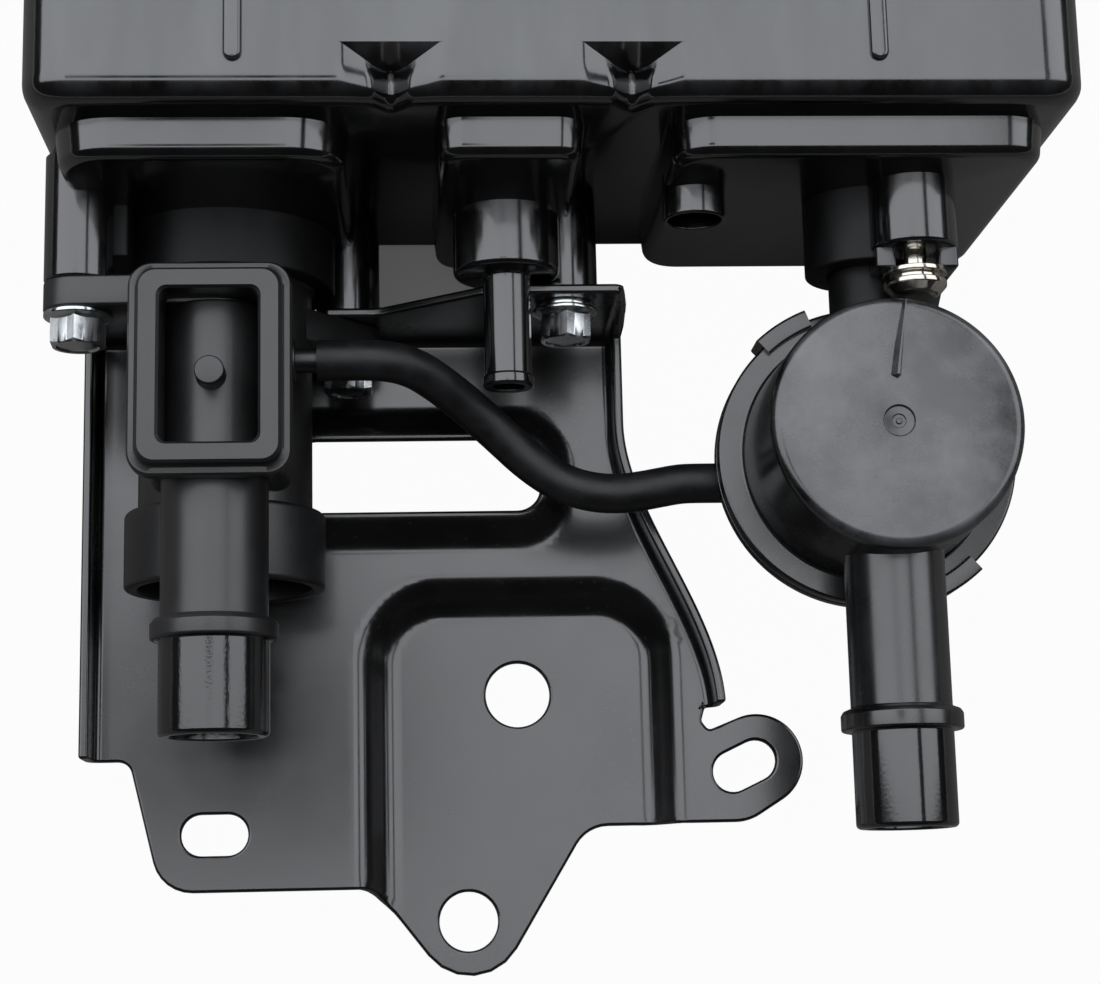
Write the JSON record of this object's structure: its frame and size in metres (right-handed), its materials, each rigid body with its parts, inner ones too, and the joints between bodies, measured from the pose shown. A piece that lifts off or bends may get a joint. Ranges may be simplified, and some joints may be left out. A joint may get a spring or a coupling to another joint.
{
  "type": "charcoal canister",
  "caption": "Box-shaped charcoal canister for fuel vapour with a vent valve, a round diaphragm valve, a signal hose and a pressed steel mounting bracket at its port end.",
  "frame": {"origin": "middle of the footprint, on the plane of the back of the body", "axes": "+X across the body to the side of the round valve, +Y along the body away from the ports, +Z from the back to the front face"},
  "size_m": [0.2, 0.3498, 0.0972],
  "materials": {
    "case_plastic": "black moulded nylon, satin, rubbed and streaked",
    "carbon": "packed charcoal granules",
    "felt": "pressed fibre",
    "inner_plastic": "moulded",
    "spring_steel": "drawn wire",
    "vent_plastic": "charcoal black moulding, fine grain",
    "vent_cap_plastic": "charcoal black moulding",
    "foam": "open cell foam",
    "poppet_plastic": "natural moulding",
    "seal_rubber": "moulded",
    "round_valve_plastic": "black moulding, satin",
    "nickel_steel": "bright nickel plate",
    "hose_rubber": "matt, dusty",
    "bracket_coat": "black dip coat with a grey sheen",
    "zinc_steel": "bright zinc plate",
    "insert_brass": "turned"
  },
  "bodies": {
    "canister": {"case": "case_plastic", "rear_cover": "case_plastic", "carbon_bed_left": "carbon", "carbon_bed_middle": "carbon", "carbon_bed_right": "carbon", "port_filter_left": "felt", "port_filter_middle": "felt", "port_filter_right": "felt", "rear_filter_left": "felt", "rear_filter_middle": "felt", "rear_filter_right": "felt", "retainer_plate_left": "inner_plastic", "retainer_plate_middle": "inner_plastic", "retainer_plate_right": "inner_plastic", "retainer_spring_left": "spring_steel", "retainer_spring_middle": "spring_steel", "retainer_spring_right": "spring_steel", "vent_valve_body": "vent_plastic", "vent_cap": "vent_cap_plastic", "vent_foam": "foam", "vent_spring": "spring_steel", "vent_o_ring": "seal_rubber", "diaphragm_cap": "round_valve_plastic", "diaphragm_housing": "round_valve_plastic", "diaphragm": "seal_rubber", "diaphragm_spring": "spring_steel", "neck_o_ring": "seal_rubber", "valve_screw": "nickel_steel", "spring_washer": "nickel_steel", "flat_washer": "nickel_steel", "signal_hose": "hose_rubber", "bracket": "bracket_coat", "bracket_bolt": "zinc_steel", "bracket_washer": "zinc_steel", "vent_bolts": "zinc_steel", "bolt_inserts": "insert_brass", "screw_insert": "insert_brass"},
    "vent_poppet": {"vent_poppet": "poppet_plastic"},
    "diaphragm_centre": {"diaphragm_plate": "poppet_plastic", "spring_cup": "spring_steel"}
  },
  "joints": [
    {"name": "vent_poppet_slide", "type": "slide", "parent": "canister", "child": "vent_poppet", "axis": [0, 1, 0], "range_m": [0, 0.004], "stiffness_N_per_m": 300, "springref_m": -0.004, "deforming": ["vent_spring"]},
    {"name": "diaphragm_slide", "type": "slide", "parent": "canister", "child": "diaphragm_centre", "axis": [0, 0, 1], "range_m": [-0.003, 0], "stiffness_N_per_m": 500, "springref_m": 0.006, "deforming": ["diaphragm_spring", "diaphragm"]}
  ]
}
